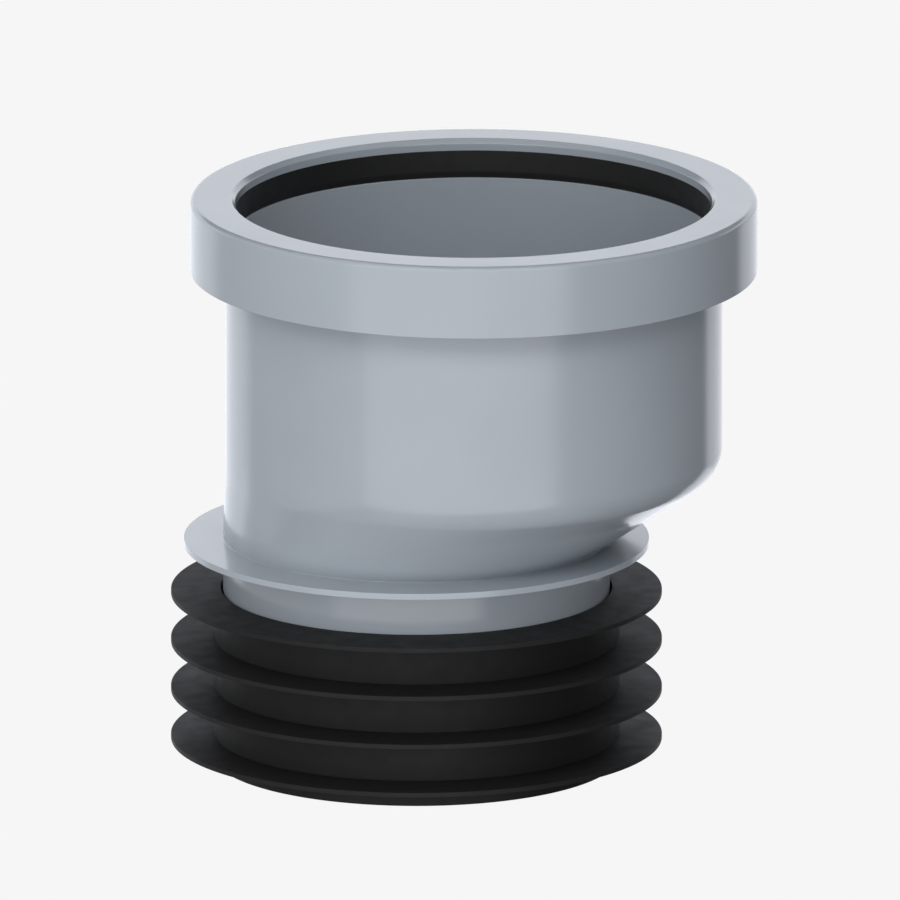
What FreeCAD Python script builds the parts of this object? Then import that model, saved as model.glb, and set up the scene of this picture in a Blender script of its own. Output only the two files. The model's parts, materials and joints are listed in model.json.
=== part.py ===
"""Offset drain connector for a 110 mm soil pipe.

A grey moulded body carries the pipe's socket on one axis and a smaller spigot on another, joined by
an eccentric shoulder. A grey collar snapped over the mouth holds the black ring seal, and a black
rubber sleeve with thin fins covers the spigot. Heights are measured up from the sleeve's end, and the
origin is there on the spigot's axis, with the socket set off along +X.
"""
import FreeCAD, Part
import os
import re

import Sketcher

NAME = "offset_drain_connector"
SHOULDER_STEPS = 4
FIN_COUNT = 4

# Driving sizes in millimetres
SIZES = (
    ("wall", 2.4, "wall of the moulded body"),
    ("socket_bore", 55.4, "radius of the bore that takes the pipe"),
    ("spigot_radius", 45.0, "outside radius of the spigot"),
    ("axis_offset", 13.3, "socket axis from spigot axis"),
    ("overall_height", 134.0, "sleeve end to collar face"),
    ("shoulder_rise", 17.45, "flange to where the socket's side would meet the neck's slope"),
    ("shoulder_radius", 8.0, "round between socket and neck"),
    ("spigot_show", 10.5, "bare spigot between sleeve and stop flange"),
    ("flange_reach", 9.1, "how far the stop flange stands out of the spigot"),
    ("flange_thickness", 1.45, "thickness of the stop flange at its rim"),
    ("flange_taper", 0.4, "rise of the flange's top from rim to neck"),
    ("mouth_lead", 0.3, "bevel at the top of the pipe bore"),
    ("pocket_width", 3.5, "width of the pocket for the seal"),
    ("collar_height", 17.05, "height of the collar"),
    ("collar_plate", 2.7, "thickness of the collar's flat face"),
    ("collar_wall", 2.2, "wall of the collar's skirt"),
    ("collar_bevel", 1.1, "bevel of the collar's outer edge"),
    ("mouth_bevel_width", 1.4, "width of the bevel round the collar's mouth"),
    ("mouth_bevel_depth", 0.9, "depth of the bevel round the collar's mouth"),
    ("collar_gap", 0.1, "clearance between collar and bell"),
    ("collar_overhang", 0.3, "collar below the bell's underside"),
    ("bead_depth", 0.6, "snap bead inside the skirt"),
    ("bead_height", 1.2, "height of the snap bead"),
    ("seal_relief", 0.1, "how far the relaxed seal lies behind the pipe bore"),
    ("seal_band", 6.6, "height of the seal that faces the pipe"),
    ("seal_bevel_height", 1.45, "height of the bevel under the seal's band"),
    ("seal_bevel_depth", 0.5, "depth of the bevel under the seal's band"),
    ("seal_gap", 0.05, "clearance between seal and bell"),
    ("sleeve_wall", 2.15, "wall of the rubber sleeve"),
    ("sleeve_gap", 0.05, "clearance between sleeve and spigot"),
    ("sleeve_lip", 2.0, "inward lip under the spigot's end"),
    ("sleeve_mouth_gap", 0.55, "play round the spigot at the sleeve's mouth"),
    ("sleeve_mouth_depth", 2.6, "depth of the flared mouth"),
    ("sleeve_bevel", 0.3, "bevel of the sleeve's lower edge"),
    ("fin_foot", 4.6, "underside of the lowest fin"),
    ("fin_reach", 9.9, "how far a fin stands out of the sleeve"),
    ("fin_thickness", 1.1, "thickness of a fin at its tip"),
    ("fin_taper", 0.4, "rise of a fin's top from tip to root"),
    ("fin_pitch", 11.55, "spacing of the fins"),
    ("fin_bury", 1.0, "how far a fin starts inside the sleeve's wall"),
)

# Sizes that follow from the driving ones
DERIVED = (
    ("socket_radius", "socket_bore + wall"),
    ("spigot_bore", "spigot_radius - wall"),
    ("sleeve_bore", "spigot_radius + sleeve_gap"),
    ("sleeve_radius", "sleeve_bore + sleeve_wall"),
    ("fin_radius", "sleeve_radius + fin_reach"),
    ("fin_span", f"fin_pitch * {FIN_COUNT - 1}"),
    ("sleeve_height", "fin_foot + fin_span + fin_thickness + fin_taper"),
    ("fin_tip_top", "sleeve_height - fin_taper"),
    ("fin_underside", "fin_tip_top - fin_thickness"),
    ("flange_radius", "spigot_radius + flange_reach"),
    ("flange_height", "sleeve_height + spigot_show"),
    ("flange_top", "flange_height + flange_thickness"),
    ("neck_base", "flange_top + flange_taper"),
    ("socket_reach", "axis_offset + socket_radius"),
    ("shoulder_turn", "atan2(socket_reach - spigot_radius; shoulder_rise)"),
    ("shoulder_top", "neck_base + shoulder_rise + shoulder_radius * tan(shoulder_turn / 2)"),
    ("pocket_radius", "socket_radius + pocket_width"),
    ("bell_radius", "pocket_radius + wall"),
    ("skirt_bore", "bell_radius + collar_gap"),
    ("collar_radius", "skirt_bore + collar_wall"),
    ("rim_height", "overall_height - collar_plate"),
    ("upstand_top", "rim_height - seal_band"),
    ("collar_foot", "overall_height - collar_height"),
    ("bell_base", "collar_foot + collar_overhang"),
    ("pocket_floor", "bell_base + wall"),
    ("bead_top", "collar_foot + bead_height"),
    ("seal_bore", "socket_bore + seal_relief"),
)


def make_sheet(document):
    """Write the driving and derived sizes into a sheet, one named cell a row."""
    sheet = document.addObject("Spreadsheet::Sheet", "Size")
    for row, (alias, size, note) in enumerate(SIZES, start=1):
        sheet.set(f"A{row}", note)
        sheet.set(f"B{row}", str(size))
        sheet.setAlias(f"B{row}", alias)
    for row, (alias, formula) in enumerate(DERIVED, start=len(SIZES) + 1):
        sheet.set(f"A{row}", alias.replace("_", " "))
        sheet.set(f"B{row}", f"={formula}")
        sheet.setAlias(f"B{row}", alias)
    document.recompute()
    return sheet


def in_sheet(formula):
    """Put the sheet's name before each size named in a formula."""
    names = {alias for alias, *_ in SIZES + DERIVED}
    return re.sub(r"[a-z_]+", lambda word: f"Size.{word[0]}" if word[0] in names else word[0], formula)


def evaluate(body, formula):
    """Number that a formula gives now."""
    return float(body.evalExpression(in_sheet(formula)))


def origin_plane(body, role):
    """One of a body's own origin planes."""
    return next(f for f in body.Origin.OriginFeatures if f.Role == role)


def attach(body, sketch, role, shift):
    """Lay a sketch on an origin plane, shifted by a formula along each named axis."""
    sketch.AttachmentSupport = [(origin_plane(body, role), "")]
    sketch.MapMode = "FlatFace"
    for axis, formula in shift.items():
        sketch.setExpression(f"AttachmentOffset.Base.{axis}", in_sheet(formula))


def hold(sketch, kind, corner, formula, start):
    """Hold one coordinate of a sketch corner at a formula's value."""
    if formula == "0":
        axis = -2 if kind == "DistanceX" else -1
        sketch.addConstraint(Sketcher.Constraint("PointOnObject", corner, 1, axis))
        return
    index = sketch.addConstraint(Sketcher.Constraint(kind, -1, 1, corner, 1, start))
    sketch.setExpression(f"Constraints[{index}]", in_sheet(formula))


def section(body, name, corners, shift=None):
    """Closed half section in the upright plane, each corner a pair of formulas: radius and height."""
    sketch = body.newObject("Sketcher::SketchObject", name)
    attach(body, sketch, "XZ_Plane", shift or {})
    places = [FreeCAD.Vector(evaluate(body, r), evaluate(body, z), 0) for r, z in corners]
    for here, there in zip(places, places[1:] + places[:1]):
        sketch.addGeometry(Part.LineSegment(here, there), False)
    for corner in range(len(corners)):
        before = (corner - 1) % len(corners)
        sketch.addConstraint(Sketcher.Constraint("Coincident", before, 2, corner, 1))
    for corner, (radius, height) in enumerate(corners):
        hold(sketch, "DistanceX", corner, radius, places[corner].x)
        hold(sketch, "DistanceY", corner, height, places[corner].y)
    return sketch


def turned(body, kind, sketch):
    """Full turn of a section about its own upright axis, added or cut away."""
    feature = body.newObject(f"PartDesign::{kind}", f"{sketch.Name}_turned")
    feature.Profile = sketch
    feature.ReferenceAxis = (sketch, ["V_Axis"])
    feature.Angle = 360
    sketch.Visibility = False
    return feature


def circle(body, name, centre, height, radius):
    """Level circle with its centre, height and radius given by formulas."""
    sketch = body.newObject("Sketcher::SketchObject", name)
    attach(body, sketch, "XY_Plane", {"x": centre, "z": height})
    start = evaluate(body, radius)
    sketch.addGeometry(Part.Circle(FreeCAD.Vector(), FreeCAD.Vector(0, 0, 1), start), False)
    sketch.addConstraint(Sketcher.Constraint("Coincident", 0, 3, -1, 1))
    index = sketch.addConstraint(Sketcher.Constraint("Radius", 0, start))
    sketch.setExpression(f"Constraints[{index}]", in_sheet(radius))
    return sketch


def loft(body, kind, name, sketches, ruled):
    """Skin through level circles, added or cut away."""
    feature = body.newObject(f"PartDesign::{kind}", name)
    feature.Profile = sketches[0]
    feature.Sections = sketches[1:]
    feature.Ruled = ruled
    return feature


def new_body(document, label):
    """Empty body that will hold one piece."""
    body = document.addObject("PartDesign::Body", label)
    body.Label = label
    return body


def shoulder_circles(body, side, depth):
    """Circles down the shoulder and the neck, at a depth of wall inside the outer surface.

    The right side of each circle follows the round, and its left side stays upright below the
    socket's side. Both surfaces of the wall share the round's centre, so the wall keeps its
    thickness. The last circle is the neck's foot on the flange.
    """
    left = f"(axis_offset - socket_radius + {depth})"
    base = f"(neck_base + {depth} * tan(shoulder_turn / 2))"
    circles = []
    for step in range(SHOULDER_STEPS + 1):
        turn = f"(shoulder_turn * {step} / {SHOULDER_STEPS})"
        height = f"(shoulder_top - (shoulder_radius - {depth}) * sin({turn}))"
        right = f"(socket_reach - shoulder_radius + (shoulder_radius - {depth}) * cos({turn}))"
        centre = f"({right} + {left}) / 2"
        radius = f"({right} - {left}) / 2"
        circles.append(circle(body, f"{side}_shoulder_{step}", centre, height, radius))
    circles.append(circle(body, f"{side}_neck", "0", base, f"spigot_radius - {depth}"))
    return circles


def add_shoulder(body, side, kind, depth):
    """Shoulder and neck as one smooth skin over the round and one straight skin below it."""
    circles = shoulder_circles(body, side, depth)
    loft(body, kind, f"{side}_shoulder", circles[:-1], ruled=False)
    return loft(body, kind, f"{side}_neck_slope", circles[-2:], ruled=True)


def make_body(document):
    """Grey moulding: spigot, stop flange, eccentric shoulder, socket and the bell for the seal."""
    body = new_body(document, "connector_body")
    on_socket = {"x": "axis_offset"}
    spigot = section(body, "spigot", (
        ("0", "sleeve_lip"),
        ("spigot_radius", "sleeve_lip"),
        ("spigot_radius", "flange_height"),
        ("flange_radius", "flange_height"),
        ("flange_radius", "flange_top"),
        ("spigot_radius", "neck_base"),
        ("0", "neck_base"),
    ))
    turned(body, "Revolution", spigot)
    socket = section(body, "socket", (
        ("0", "shoulder_top"),
        ("socket_radius", "shoulder_top"),
        ("socket_radius", "bell_base"),
        ("bell_radius - bead_depth", "bell_base"),
        ("bell_radius - bead_depth", "bead_top + collar_gap"),
        ("bell_radius", "bead_top + collar_gap"),
        ("bell_radius", "rim_height"),
        ("0", "rim_height"),
    ), on_socket)
    add_shoulder(body, "outer", "AdditiveLoft", "0")
    turned(body, "Revolution", socket)
    hollow_body(body)
    return body


def hollow_body(body):
    """Waterway through the body: pipe bore, pocket for the seal, shoulder and spigot bore."""
    mouth = section(body, "pipe_bore", (
        ("0", "shoulder_top"),
        ("socket_bore", "shoulder_top"),
        ("socket_bore", "upstand_top - mouth_lead"),
        ("socket_bore + mouth_lead", "upstand_top"),
        ("socket_radius", "upstand_top"),
        ("socket_radius", "pocket_floor"),
        ("pocket_radius", "pocket_floor"),
        ("pocket_radius", "rim_height"),
        ("0", "rim_height"),
    ), {"x": "axis_offset"})
    turned(body, "Groove", mouth)
    add_shoulder(body, "inner", "SubtractiveLoft", "wall")
    outlet = section(body, "outlet_bore", (
        ("0", "sleeve_lip"),
        ("spigot_bore", "sleeve_lip"),
        ("spigot_bore", "neck_base + wall * tan(shoulder_turn / 2)"),
        ("0", "neck_base + wall * tan(shoulder_turn / 2)"),
    ))
    turned(body, "Groove", outlet)


def make_collar(document):
    """Grey collar over the mouth: a flat face, a skirt and the bead that snaps under the bell."""
    body = new_body(document, "retaining_collar")
    profile = section(body, "collar", (
        ("socket_bore", "rim_height"),
        ("skirt_bore", "rim_height"),
        ("skirt_bore", "bead_top"),
        ("skirt_bore - bead_depth", "bead_top"),
        ("skirt_bore - bead_depth", "collar_foot"),
        ("collar_radius", "collar_foot"),
        ("collar_radius", "overall_height - collar_bevel"),
        ("collar_radius - collar_bevel", "overall_height"),
        ("socket_bore + mouth_bevel_width", "overall_height"),
        ("socket_bore", "overall_height - mouth_bevel_depth"),
    ), {"x": "axis_offset"})
    turned(body, "Revolution", profile)
    return body


def make_seal(document):
    """Black ring seal: a band that faces the pipe and a foot that drops into the bell's pocket."""
    body = new_body(document, "socket_ring_seal")
    profile = section(body, "seal", (
        ("seal_bore", "rim_height"),
        ("seal_bore", "upstand_top + seal_bevel_height"),
        ("seal_bore + seal_bevel_depth", "upstand_top"),
        ("socket_radius + seal_gap", "upstand_top"),
        ("socket_radius + seal_gap", "pocket_floor"),
        ("pocket_radius - seal_gap", "pocket_floor"),
        ("pocket_radius - seal_gap", "rim_height"),
    ), {"x": "axis_offset"})
    turned(body, "Revolution", profile)
    return body


def make_sleeve(document):
    """Black rubber sleeve on the spigot, lipped under its end, with a row of thin fins."""
    body = new_body(document, "finned_sleeve")
    tube = section(body, "tube", (
        ("spigot_bore", "0"),
        ("sleeve_radius - sleeve_bevel", "0"),
        ("sleeve_radius", "sleeve_bevel"),
        ("sleeve_radius", "sleeve_height"),
        ("spigot_radius + sleeve_mouth_gap", "sleeve_height"),
        ("sleeve_bore", "sleeve_height - sleeve_mouth_depth"),
        ("sleeve_bore", "sleeve_lip"),
        ("spigot_bore", "sleeve_lip"),
    ))
    turned(body, "Revolution", tube)
    fin = section(body, "fin", (
        ("sleeve_radius - fin_bury", "sleeve_height"),
        ("sleeve_radius", "sleeve_height"),
        ("fin_radius", "fin_tip_top"),
        ("fin_radius", "fin_underside"),
        ("sleeve_radius - fin_bury", "fin_underside"),
    ))
    top_fin = turned(body, "Revolution", fin)
    row = body.newObject("PartDesign::LinearPattern", "fins")
    row.Originals = [top_fin]
    row.Direction = (origin_plane(body, "Z_Axis"), [""])
    row.Reversed = True
    row.Occurrences = FIN_COUNT
    row.setExpression("Length", in_sheet("fin_span"))
    body.Tip = row
    return body


def check_features(document):
    """Stop on any object that failed to compute."""
    for item in document.Objects:
        if {"Invalid", "Error"} & set(item.State):
            raise RuntimeError(f"{item.Name} failed: {item.getStatusString()}")


def check_piece(piece):
    """Stop on a piece that is not one sound solid."""
    shape = piece.Shape
    if shape.isNull() or not shape.isValid() or len(shape.Solids) != 1:
        raise RuntimeError(f"{piece.Label} is not one sound solid")


def write_piece(piece):
    """Write one piece and print what it measures."""
    box = piece.Shape.BoundBox
    print(f"{piece.Label}: {piece.Shape.Volume / 1000:.1f} cm3, "
          f"x {box.XMin:.1f} to {box.XMax:.1f}, z {box.ZMin:.1f} to {box.ZMax:.1f}")
    piece.Shape.exportStep(f"parts/{piece.Label}.step")


def main():
    """Build every piece, check them all and write them."""
    os.makedirs("parts", exist_ok=True)
    document = FreeCAD.newDocument(NAME)
    make_sheet(document)
    pieces = [make_body(document), make_collar(document), make_seal(document), make_sleeve(document)]
    document.recompute()
    check_features(document)
    for piece in pieces:
        check_piece(piece)
    for piece in pieces:
        write_piece(piece)


main()
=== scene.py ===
import json
import math

import bmesh
import bpy
from mathutils import Matrix, Vector


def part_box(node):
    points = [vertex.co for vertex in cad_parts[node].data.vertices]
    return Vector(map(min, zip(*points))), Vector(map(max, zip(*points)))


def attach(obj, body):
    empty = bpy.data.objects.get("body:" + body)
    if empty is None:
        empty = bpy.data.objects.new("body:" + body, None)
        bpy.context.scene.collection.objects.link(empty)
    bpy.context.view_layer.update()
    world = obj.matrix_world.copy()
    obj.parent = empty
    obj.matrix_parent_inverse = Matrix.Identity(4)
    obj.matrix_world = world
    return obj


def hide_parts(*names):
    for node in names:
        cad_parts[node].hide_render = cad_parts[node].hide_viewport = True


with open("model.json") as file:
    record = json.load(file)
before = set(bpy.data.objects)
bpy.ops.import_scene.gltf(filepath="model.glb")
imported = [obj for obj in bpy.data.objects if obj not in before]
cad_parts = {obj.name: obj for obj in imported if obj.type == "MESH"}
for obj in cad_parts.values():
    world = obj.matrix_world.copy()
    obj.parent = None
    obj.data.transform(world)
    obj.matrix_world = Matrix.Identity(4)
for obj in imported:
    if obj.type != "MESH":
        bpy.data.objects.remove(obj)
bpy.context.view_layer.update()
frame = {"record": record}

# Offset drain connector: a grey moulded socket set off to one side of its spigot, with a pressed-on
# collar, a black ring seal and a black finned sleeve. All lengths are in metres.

MM = 0.001

# Sizes that the frame gives
MOUNTS = {mount["name"]: mount for mount in frame["record"]["mounts"]}
COLLAR_LOW, COLLAR_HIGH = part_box("retaining_collar")
BODY_LOW, BODY_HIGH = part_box("connector_body")
SEAL_LOW, SEAL_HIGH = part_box("socket_ring_seal")
SLEEVE_LOW, SLEEVE_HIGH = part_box("finned_sleeve")
SOCKET_AXIS = MOUNTS["socket_bore"]["pos_m"][0]
SOCKET_BORE = MOUNTS["socket_bore"]["dims"]["r_mm"] * MM
SPIGOT_BORE = MOUNTS["outlet_bore"]["dims"]["r_mm"] * MM
FIN_SPAN = MOUNTS["outlet_fins"]["dims"]["length_mm"] * MM
COLLAR_RADIUS = COLLAR_HIGH.x - SOCKET_AXIS
BELL_RADIUS = BODY_HIGH.x - SOCKET_AXIS
SEAL_RADIUS = SEAL_HIGH.x - SOCKET_AXIS
FLANGE_RADIUS = -BODY_LOW.x
FIN_RADIUS = min(SLEEVE_HIGH.x, -SLEEVE_LOW.x)
RIM_HEIGHT = BODY_HIGH.z
SPIGOT_FOOT = BODY_LOW.z
POCKET_FLOOR = SEAL_LOW.z
SLEEVE_TOP = SLEEVE_HIGH.z

# Sizes of the moulded body
WALL = 2.4 * MM
SOCKET_RADIUS = SOCKET_BORE + WALL
SPIGOT_RADIUS = SPIGOT_BORE + WALL
POCKET_RADIUS = BELL_RADIUS - WALL
FLANGE_THICKNESS = 1.45 * MM
FLANGE_TAPER = 0.4 * MM
SPIGOT_SHOW = 10.5 * MM
FLANGE_FOOT = SLEEVE_TOP + SPIGOT_SHOW
FLANGE_TOP = FLANGE_FOOT + FLANGE_THICKNESS
NECK_BASE = FLANGE_TOP + FLANGE_TAPER
SHOULDER_RISE = 17.45 * MM
SHOULDER_ROUND = 8.0 * MM
SHOULDER_STEPS = 14
SHOULDER_TURN = math.atan2(SOCKET_AXIS + SOCKET_RADIUS - SPIGOT_RADIUS, SHOULDER_RISE)
SHOULDER_TOP = NECK_BASE + SHOULDER_RISE + SHOULDER_ROUND * math.tan(SHOULDER_TURN / 2)
MOUTH_LEAD = 0.1 * MM
FLANGE_RIM_ROUND = 0.08 * MM
FLANGE_ROOT_ROUND = 0.15 * MM
SPIGOT_END_ROUND = 0.4 * MM
BELL_ROOT_ROUND = 0.8 * MM

# Sizes of the collar
COLLAR_WALL = 2.2 * MM
COLLAR_ROUND = 1.2 * MM
COLLAR_FOOT_ROUND = 0.1 * MM
MOUTH_BEVEL_WIDTH = 1.0 * MM
MOUTH_BEVEL_DEPTH = 1.0 * MM
MOUTH_BEVEL_ROUND = 0.2 * MM
BEAD_DEPTH = 0.6 * MM
BEAD_HEIGHT = 1.2 * MM
BEAD_TOP = COLLAR_LOW.z + BEAD_HEIGHT
COLLAR_GAP = 0.1 * MM
COLLAR_OVERHANG = 0.3 * MM
BELL_BASE = COLLAR_LOW.z + COLLAR_OVERHANG

# Sizes of the ring seal
SEAL_BAND = 6.6 * MM
SEAL_RELIEF = 0.1 * MM
SEAL_BEVEL_HEIGHT = 1.45 * MM
SEAL_BEVEL_DEPTH = 0.5 * MM
SEAL_GAP = 0.05 * MM
SEAL_ROUND = 0.3 * MM
UPSTAND_TOP = RIM_HEIGHT - SEAL_BAND

# Sizes of the rubber sleeve
FIN_COUNT = 4
FIN_THICKNESS = 1.1 * MM
FIN_TAPER = 0.4 * MM
FIN_PITCH = (FIN_SPAN - FIN_THICKNESS) / (FIN_COUNT - 1)
FIN_TIP_ROUND = 0.06 * MM
SLEEVE_WALL = 2.15 * MM
SLEEVE_GAP = 0.05 * MM
SLEEVE_BORE = SPIGOT_RADIUS + SLEEVE_GAP
SLEEVE_RADIUS = SLEEVE_BORE + SLEEVE_WALL
SLEEVE_FOOT_ROUND = 0.3 * MM
SLEEVE_MOUTH_GAP = 0.55 * MM
SLEEVE_MOUTH_DEPTH = 2.6 * MM
SLEEVE_MOUTH_ROUND = 0.05 * MM

# How finely the pieces are made
ROUND_STEPS = 6
TURN_STEPS = 240
MERGE_REACH = 0.001 * MM
CREASE_TURN = math.radians(25)

# Tints of the lights
WHITE = (1, 1, 1)
COOL_WHITE = (0.90, 0.93, 1.0)


def round_corner(mesh, corner, radius):
    """Round one corner of a flat section."""
    bmesh.ops.bevel(mesh, geom=[corner], offset=radius, offset_type="OFFSET", segments=ROUND_STEPS,
                    profile=0.5, affect="VERTICES", material=-1)


def turned_section(corners, axis):
    """Ring turned about an upright axis, from a section whose corners are (radius, height, round)."""
    mesh = bmesh.new()
    points = [mesh.verts.new((axis + radius, 0, height)) for radius, height, _ in corners]
    face = mesh.faces.new(points)
    for point, (_, _, radius) in zip(points, corners):
        if radius:
            round_corner(mesh, point, radius)
    bmesh.ops.delete(mesh, geom=mesh.faces[:], context="FACES_ONLY")
    bmesh.ops.spin(mesh, geom=mesh.verts[:] + mesh.edges[:], cent=(axis, 0, 0), axis=(0, 0, 1),
                   angle=math.tau, steps=TURN_STEPS, use_merge=True)
    return mesh


def lead_ring(mesh, places):
    """Lead one circle through every place (centre, height, radius) and back, and give the rings."""
    centre, height, radius = places[0]
    made = bmesh.ops.create_circle(mesh, cap_ends=False, radius=radius, segments=TURN_STEPS,
                                   matrix=Matrix.Translation((centre, 0, height)))
    rings = [list({edge for vert in made["verts"] for edge in vert.link_edges})]
    for here, there in zip(places, places[1:] + places[:1]):
        made = bmesh.ops.extrude_edge_only(mesh, edges=rings[-1])["geom"]
        points = {part for part in made if isinstance(part, bmesh.types.BMVert)}
        edges = [part for part in made if isinstance(part, bmesh.types.BMEdge)]
        grow = there[2] / here[2]
        bmesh.ops.scale(mesh, vec=(grow, grow, 1), verts=list(points),
                        space=Matrix.Translation((-here[0], 0, -here[1])))
        bmesh.ops.translate(mesh, vec=(there[0] - here[0], 0, there[1] - here[1]), verts=list(points))
        rings.append([edge for edge in edges if points.issuperset(edge.verts)])
    return rings[:-1]


def round_ring(mesh, ring, radius):
    """Round the corner that follows a ring of edges."""
    bmesh.ops.bevel(mesh, geom=ring, offset=radius, offset_type="OFFSET", segments=ROUND_STEPS,
                    profile=0.5, affect="EDGES", material=-1)


def finish_piece(mesh, name, node, material):
    """Turn a bmesh into a smooth piece that rides on the body and stands for a node."""
    bmesh.ops.remove_doubles(mesh, verts=mesh.verts, dist=MERGE_REACH)
    bmesh.ops.recalc_face_normals(mesh, faces=mesh.faces)
    data = bpy.data.meshes.new(name)
    mesh.to_mesh(data)
    mesh.free()
    data.shade_smooth()
    data.set_sharp_from_angle(angle=CREASE_TURN)
    data.materials.append(material)
    piece = bpy.data.objects.new(name, data)
    bpy.context.scene.collection.objects.link(piece)
    normals = piece.modifiers.new("even_shading", "WEIGHTED_NORMAL")
    normals.keep_sharp = True
    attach(piece, "root")
    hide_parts(node)
    return piece


def shoulder_rings(depth):
    """Rings down the shoulder's round to the neck, at a depth of wall inside the outer surface.

    The right side of each ring follows the round and the left side stays upright.
    """
    reach = SOCKET_AXIS + SOCKET_RADIUS
    left = SOCKET_AXIS - SOCKET_RADIUS + depth
    base = NECK_BASE + depth * math.tan(SHOULDER_TURN / 2)
    rings = []
    for step in range(SHOULDER_STEPS + 1):
        turn = SHOULDER_TURN * step / SHOULDER_STEPS
        height = SHOULDER_TOP - (SHOULDER_ROUND - depth) * math.sin(turn)
        right = reach - SHOULDER_ROUND + (SHOULDER_ROUND - depth) * math.cos(turn)
        rings.append(((right + left) / 2, height, (right - left) / 2))
    rings.append((0, base, SPIGOT_RADIUS - depth))
    return rings


def make_body(material):
    """Grey moulding: bell, socket, eccentric shoulder, stop flange and spigot, hollow right through."""
    mesh = bmesh.new()
    waist = BELL_RADIUS - BEAD_DEPTH
    bell = [
        (SOCKET_AXIS, RIM_HEIGHT, POCKET_RADIUS),
        (SOCKET_AXIS, RIM_HEIGHT, BELL_RADIUS),
        (SOCKET_AXIS, BEAD_TOP + COLLAR_GAP, BELL_RADIUS),
        (SOCKET_AXIS, BEAD_TOP + COLLAR_GAP, waist),
        (SOCKET_AXIS, BELL_BASE, waist),
        (SOCKET_AXIS, BELL_BASE, SOCKET_RADIUS),
    ]
    foot = [
        (0, FLANGE_TOP, FLANGE_RADIUS),
        (0, FLANGE_FOOT, FLANGE_RADIUS),
        (0, FLANGE_FOOT, SPIGOT_RADIUS),
        (0, SPIGOT_FOOT, SPIGOT_RADIUS),
        (0, SPIGOT_FOOT, SPIGOT_BORE),
    ]
    mouth = [
        (SOCKET_AXIS, UPSTAND_TOP - MOUTH_LEAD, SOCKET_BORE),
        (SOCKET_AXIS, UPSTAND_TOP, SOCKET_BORE + MOUTH_LEAD),
        (SOCKET_AXIS, UPSTAND_TOP, SOCKET_RADIUS),
        (SOCKET_AXIS, POCKET_FLOOR, SOCKET_RADIUS),
        (SOCKET_AXIS, POCKET_FLOOR, POCKET_RADIUS),
    ]
    outside = shoulder_rings(0)
    inside = shoulder_rings(WALL)[::-1]
    rings = lead_ring(mesh, bell + outside + foot + inside + mouth)
    neck = len(bell) + len(outside) - 1
    round_ring(mesh, rings[len(bell) - 1], BELL_ROOT_ROUND)
    round_ring(mesh, rings[neck], FLANGE_ROOT_ROUND)
    round_ring(mesh, rings[neck + 1], FLANGE_RIM_ROUND)
    round_ring(mesh, rings[neck + 2], FLANGE_RIM_ROUND)
    round_ring(mesh, rings[neck + 3], FLANGE_ROOT_ROUND)
    round_ring(mesh, rings[neck + 5], SPIGOT_END_ROUND)
    return finish_piece(mesh, "socket_and_spigot", "connector_body", material)


def make_collar(material):
    """Grey collar with rounded edges and the bead that catches under the bell."""
    skirt = COLLAR_RADIUS - COLLAR_WALL
    mesh = turned_section([
        (SOCKET_BORE, RIM_HEIGHT, 0),
        (skirt, RIM_HEIGHT, 0),
        (skirt, BEAD_TOP, 0),
        (skirt - BEAD_DEPTH, BEAD_TOP, 0),
        (skirt - BEAD_DEPTH, COLLAR_LOW.z, COLLAR_FOOT_ROUND),
        (COLLAR_RADIUS, COLLAR_LOW.z, COLLAR_FOOT_ROUND),
        (COLLAR_RADIUS, COLLAR_HIGH.z, COLLAR_ROUND),
        (SOCKET_BORE + MOUTH_BEVEL_WIDTH, COLLAR_HIGH.z, MOUTH_BEVEL_ROUND),
        (SOCKET_BORE, COLLAR_HIGH.z - MOUTH_BEVEL_DEPTH, MOUTH_BEVEL_ROUND),
    ], SOCKET_AXIS)
    return finish_piece(mesh, "pressed_collar", "retaining_collar", material)


def make_seal(material):
    """Black ring seal: the band that faces the pipe, and its foot in the pocket."""
    face = SOCKET_BORE + SEAL_RELIEF
    foot = SOCKET_RADIUS + SEAL_GAP
    mesh = turned_section([
        (face, SEAL_HIGH.z, SEAL_ROUND),
        (face, UPSTAND_TOP + SEAL_BEVEL_HEIGHT, SEAL_ROUND),
        (face + SEAL_BEVEL_DEPTH, UPSTAND_TOP, 0),
        (foot, UPSTAND_TOP, 0),
        (foot, SEAL_LOW.z, SEAL_ROUND),
        (SEAL_RADIUS, SEAL_LOW.z, SEAL_ROUND),
        (SEAL_RADIUS, SEAL_HIGH.z, SEAL_ROUND),
    ], SOCKET_AXIS)
    return finish_piece(mesh, "pipe_seal", "socket_ring_seal", material)


def fin_corners():
    """Corners of the sleeve's outside from its top down, one fin after another."""
    corners = []
    for fin in range(FIN_COUNT):
        root = SLEEVE_TOP - fin * FIN_PITCH
        tip = root - FIN_TAPER
        corners.append((SLEEVE_RADIUS, root, 0))
        corners.append((FIN_RADIUS, tip, FIN_TIP_ROUND))
        corners.append((FIN_RADIUS, tip - FIN_THICKNESS, FIN_TIP_ROUND))
        corners.append((SLEEVE_RADIUS, tip - FIN_THICKNESS, 0))
    return corners


def make_sleeve(material):
    """Black rubber sleeve with thin tapered fins, a flared mouth and a lip under the spigot's end."""
    mesh = turned_section([
        (SPIGOT_BORE, SPIGOT_FOOT, 0),
        (SPIGOT_BORE, SLEEVE_LOW.z, 0),
        (SLEEVE_RADIUS, SLEEVE_LOW.z, SLEEVE_FOOT_ROUND),
        *fin_corners()[::-1],
        (SPIGOT_RADIUS + SLEEVE_MOUTH_GAP, SLEEVE_TOP, SLEEVE_MOUTH_ROUND),
        (SLEEVE_BORE, SLEEVE_TOP - SLEEVE_MOUTH_DEPTH, 0),
        (SLEEVE_BORE, SPIGOT_FOOT, 0),
    ], 0)
    return finish_piece(mesh, "spigot_sleeve", "finned_sleeve", material)


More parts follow.
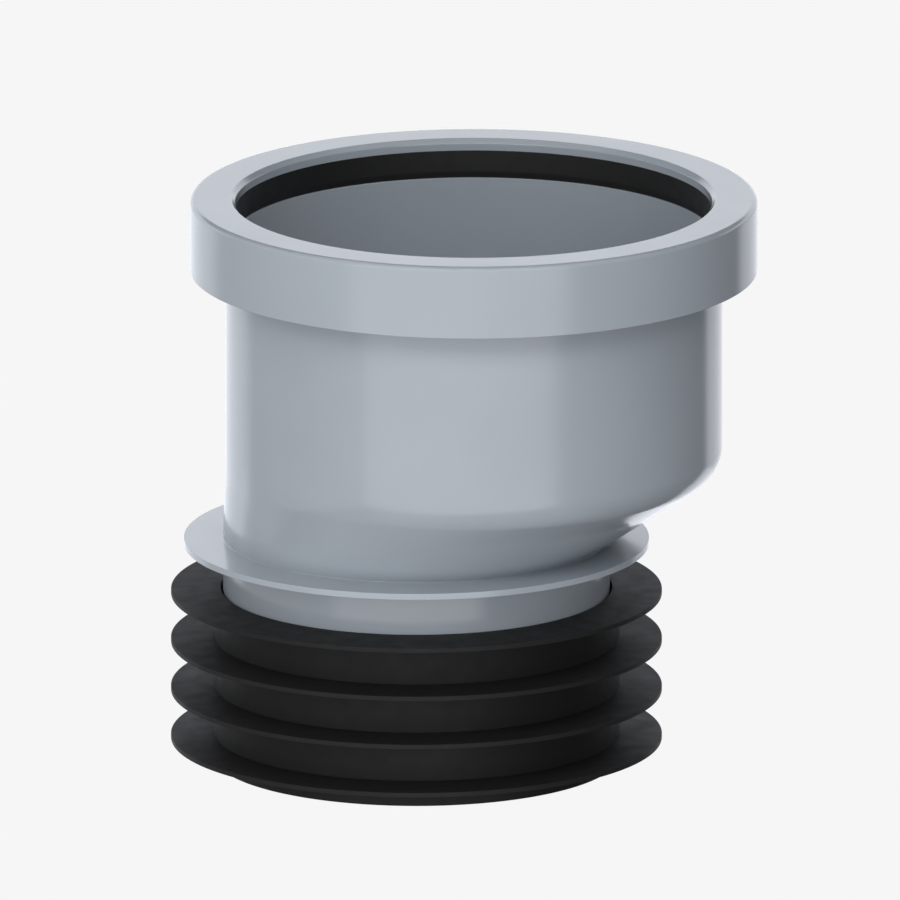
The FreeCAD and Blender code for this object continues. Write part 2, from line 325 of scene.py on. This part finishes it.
class Finish:
    """Node material that is built one texture at a time on the object's own coordinates."""

    def __init__(self, name):
        self.material = bpy.data.materials.new(name)
        self.material.use_nodes = True
        self.nodes = self.material.node_tree.nodes
        self.links = self.material.node_tree.links
        self.shader = self.nodes["Principled BSDF"]
        self.place = self.nodes.new("ShaderNodeTexCoord").outputs["Object"]

    def noise(self, scale, detail, stretch=(1, 1, 1)):
        """Cloudy value between 0 and 1, with so many features a metre."""
        mapping = self.nodes.new("ShaderNodeMapping")
        mapping.inputs["Scale"].default_value = stretch
        texture = self.nodes.new("ShaderNodeTexNoise")
        texture.inputs["Scale"].default_value = scale
        texture.inputs["Detail"].default_value = detail
        self.links.new(self.place, mapping.inputs["Vector"])
        self.links.new(mapping.outputs["Vector"], texture.inputs["Vector"])
        return texture.outputs["Fac"]

    def spread(self, value, low, high):
        """Stretch the middle of a cloudy value from low to high."""
        ranged = self.nodes.new("ShaderNodeMapRange")
        ranged.inputs["From Min"].default_value = 0.3
        ranged.inputs["From Max"].default_value = 0.7
        ranged.inputs["To Min"].default_value = low
        ranged.inputs["To Max"].default_value = high
        self.links.new(value, ranged.inputs["Value"])
        return ranged.outputs["Result"]

    def colour(self, value, dark, light):
        """Colour the surface between two shades."""
        mix = self.nodes.new("ShaderNodeMix")
        mix.data_type = "RGBA"
        mix.inputs["A"].default_value = (*dark, 1)
        mix.inputs["B"].default_value = (*light, 1)
        self.links.new(self.spread(value, 0, 1), mix.inputs["Factor"])
        self.links.new(mix.outputs["Result"], self.shader.inputs["Base Color"])

    def roughness(self, value, low, high):
        """Let the gloss vary between two roughnesses."""
        self.links.new(self.spread(value, low, high), self.shader.inputs["Roughness"])

    def relief(self, layers):
        """Raise the surface by layers of (value, depth in metres)."""
        below = None
        for value, depth in layers:
            bump = self.nodes.new("ShaderNodeBump")
            bump.inputs["Distance"].default_value = depth
            self.links.new(value, bump.inputs["Height"])
            if below:
                self.links.new(below, bump.inputs["Normal"])
            below = bump.outputs["Normal"]
        self.links.new(below, self.shader.inputs["Normal"])


def moulded_grey(name):
    """Semi-gloss blue-grey moulded plastic, with faint clouds of pigment and upright flow marks."""
    finish = Finish(name)
    clouds = finish.noise(scale=38, detail=4)
    flow = finish.noise(scale=90, detail=3, stretch=(1, 1, 0.12))
    waves = finish.noise(scale=120, detail=1)
    grain = finish.noise(scale=2600, detail=2)
    finish.colour(clouds, (0.306, 0.340, 0.378), (0.320, 0.356, 0.395))
    finish.roughness(flow, 0.13, 0.18)
    finish.relief([(waves, 0.006 * MM), (grain, 0.0008 * MM)])
    finish.shader.inputs["IOR"].default_value = 1.5
    return finish.material


def moulded_rubber(name, dark, light, smooth, rough, shine):
    """Dull black rubber, with a fine mould grain and a faint bloom."""
    finish = Finish(name)
    bloom = finish.noise(scale=60, detail=5)
    gloss = finish.noise(scale=220, detail=4)
    waves = finish.noise(scale=320, detail=4)
    grain = finish.noise(scale=5200, detail=2)
    finish.colour(bloom, dark, light)
    finish.roughness(gloss, smooth, rough)
    finish.relief([(waves, 0.012 * MM), (grain, 0.003 * MM)])
    finish.shader.inputs["IOR"].default_value = 1.5
    finish.shader.inputs["Specular IOR Level"].default_value = shine
    return finish.material


def pale_floor():
    """Pale floor just under the part, which glows evenly and lets the light from below through."""
    reach = 3.0
    drop = Matrix.Translation((0, 0, -0.1 * MM))
    mesh = bmesh.new()
    bmesh.ops.create_grid(mesh, x_segments=1, y_segments=1, size=reach, matrix=drop)
    data = bpy.data.meshes.new("pale_floor")
    mesh.to_mesh(data)
    mesh.free()
    floor = bpy.data.objects.new("pale_floor", data)
    bpy.context.scene.collection.objects.link(floor)
    material = bpy.data.materials.new("pale_floor")
    material.use_nodes = True
    shader = material.node_tree.nodes["Principled BSDF"]
    shader.inputs["Base Color"].default_value = (0, 0, 0, 1)
    shader.inputs["Specular IOR Level"].default_value = 0.0
    shader.inputs["Emission Color"].default_value = (1, 1, 1, 1)
    shader.inputs["Emission Strength"].default_value = 0.92
    data.materials.append(material)
    floor.visible_diffuse = False
    floor.visible_glossy = False
    floor.visible_shadow = False


def fade_sides(data, left, right):
    """Fade a light towards its upright edges, over shares of its width on its left and right.

    Left and right are as seen along the way that the light faces.
    """
    data.use_nodes = True
    nodes = data.node_tree.nodes
    links = data.node_tree.links
    across = nodes.new("ShaderNodeSeparateXYZ")
    links.new(nodes.new("ShaderNodeNewGeometry").outputs["Parametric"], across.inputs["Vector"])
    both = nodes.new("ShaderNodeMath")
    both.operation = "MULTIPLY"
    for side, edge, full in ((0, 0.0, left), (1, 1.0, 1.0 - right)):
        ramp = nodes.new("ShaderNodeMapRange")
        ramp.interpolation_type = "SMOOTHSTEP"
        ramp.inputs["From Min"].default_value = edge
        ramp.inputs["From Max"].default_value = full
        links.new(across.outputs["X"], ramp.inputs["Value"])
        links.new(ramp.outputs["Result"], both.inputs[side])
    links.new(both.outputs["Value"], nodes["Emission"].inputs["Strength"])


def soft_light(name, place, facing, width, height, glow, fades=None, tint=WHITE):
    """Rectangular soft light that faces one way and isn't seen by the camera."""
    data = bpy.data.lights.new(name, "AREA")
    data.shape = "RECTANGLE"
    data.size = width
    data.size_y = height
    data.energy = glow * math.pi * width * height
    data.color = tint
    if fades:
        fade_sides(data, *fades)
    light = bpy.data.objects.new(name, data)
    bpy.context.scene.collection.objects.link(light)
    light.location = place
    light.rotation_euler = Vector(facing).to_track_quat("-Z", "Y").to_euler()
    light.visible_camera = False


def dim_room(glow):
    """Surroundings with a faint even glow between the lights."""
    world = bpy.data.worlds.new("dim_room")
    bpy.context.scene.world = world
    world.use_nodes = True
    background = world.node_tree.nodes["Background"]
    background.inputs["Color"].default_value = (1, 1, 1, 1)
    background.inputs["Strength"].default_value = glow


def studio():
    """Plain soft light: panels in front, on the left, below, behind and above, none on the right."""
    dim_room(0.10)
    for name, middle, height, glow in (
            ("front_low", -0.21, 0.3, 1.66),
            ("front_level", 0.068, 0.254, 2.08),
            ("front_middle", 0.37, 0.35, 1.0),
            ("front_high", 0.77, 0.45, 3.6)):
        soft_light(name, (-0.14, -0.8, middle), (0, 1, 0), 1.86, height, glow, (0.10, 0.16))
    soft_light("left", (-0.8, 0.07, 0.18), (1, 0, 0), 1.47, 0.97, 0.57, (0.24, 0.02))
    soft_light("below", (-0.1, -0.5, -0.6), (0, 0.3, 1), 1.6, 1.0, 0.22)
    for name, place, width, height, glow, fades in (
            ("backdrop_low", (-0.18, 0.8, -0.43), 2.15, 0.38, 1.6, (0.09, 0.22)),
            ("backdrop_middle", (-0.18, 0.8, -0.07), 2.15, 0.34, 1.13, (0.09, 0.22)),
            ("backdrop_left", (-0.40, 0.77, -0.07), 1.70, 0.34, 0.28, (0.44, 0.28)),
            ("backdrop_high", (-0.30, 0.8, 0.28), 3.8, 0.36, 1.55, (0.02, 0.34))):
        soft_light(name, place, (0, -1, 0), width, height, glow, fades, COOL_WHITE)
    soft_light("above", (0, -0.2, 1.05), (0, 0, -1), 1.4, 1.0, 0.6)


def photo_camera():
    """Camera without perspective, looking down a little on the front of the connector."""
    pixels_per_metre = 4300
    frame_pixels = 900
    elevation = math.radians(14.28)
    target = Vector((7.8 * MM, 0, 73.5 * MM))
    distance = 1.5
    data = bpy.data.cameras.new("photo_camera")
    data.type = "ORTHO"
    data.ortho_scale = frame_pixels / pixels_per_metre
    data.clip_start = 0.05
    data.clip_end = 20
    camera = bpy.data.objects.new("photo_camera", data)
    bpy.context.scene.collection.objects.link(camera)
    back = Vector((0, -math.cos(elevation), math.sin(elevation)))
    camera.location = target + back * distance
    camera.rotation_euler = (-back).to_track_quat("-Z", "Y").to_euler()
    bpy.context.scene.camera = camera


photo_camera()
make_body(moulded_grey("moulded_grey_body"))
make_collar(moulded_grey("moulded_grey_collar"))
make_seal(moulded_rubber("seal_rubber", dark=(0.0015, 0.0015, 0.0017), light=(0.003, 0.003, 0.0033),
                         smooth=0.62, rough=0.72, shine=0.50))
make_sleeve(moulded_rubber("sleeve_rubber", dark=(0.0095, 0.0095, 0.0101), light=(0.0115, 0.0115, 0.0122),
                           smooth=0.58, rough=0.68, shine=0.21))
pale_floor()
studio()
bpy.context.scene.view_settings.view_transform = "Standard"
